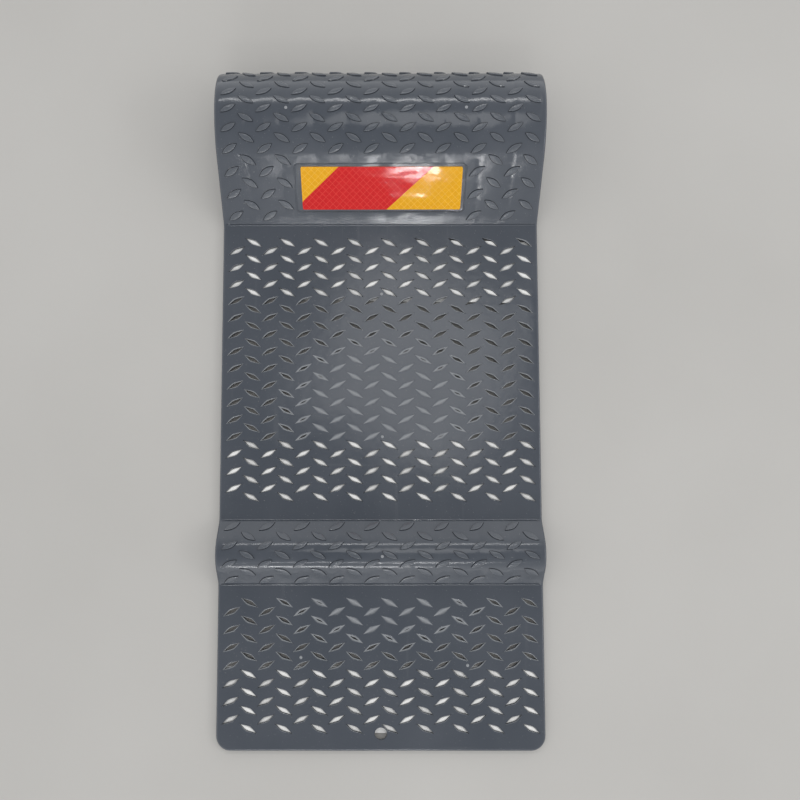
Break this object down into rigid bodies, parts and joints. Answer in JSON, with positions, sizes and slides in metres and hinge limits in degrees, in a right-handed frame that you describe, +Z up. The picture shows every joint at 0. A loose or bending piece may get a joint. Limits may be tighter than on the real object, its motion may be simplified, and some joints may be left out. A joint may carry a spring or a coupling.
{
  "type": "garage parking mat",
  "caption": "Moulded plastic parking mat: the tyre rolls over a low hump, rests in a flat perforated bay and stops against a high hump with a reflective label; taped to the floor.",
  "frame": {"origin": "on the floor, at the middle of the mat's footprint", "axes": "+X to the driver's right, +Y from the front edge, where the tyre rolls on, to the high stop at the rear, +Z up"},
  "size_m": [0.267, 0.559, 0.0535],
  "materials": {
    "grey_plastic": "satin",
    "amber_reflective": "gloss",
    "red_reflective": "gloss",
    "white_tape": "matte",
    "liner_paper": "matte"
  },
  "bodies": {
    "root": {"mat_body": "grey_plastic", "reflective_film": "amber_reflective", "red_overlay": "red_reflective", "tape_strip_front": "white_tape", "tape_strip_middle": "white_tape", "tape_strip_rear": "white_tape", "release_liner_front": "liner_paper", "release_liner_middle": "liner_paper", "release_liner_rear": "liner_paper"}
  },
  "joints": []
}
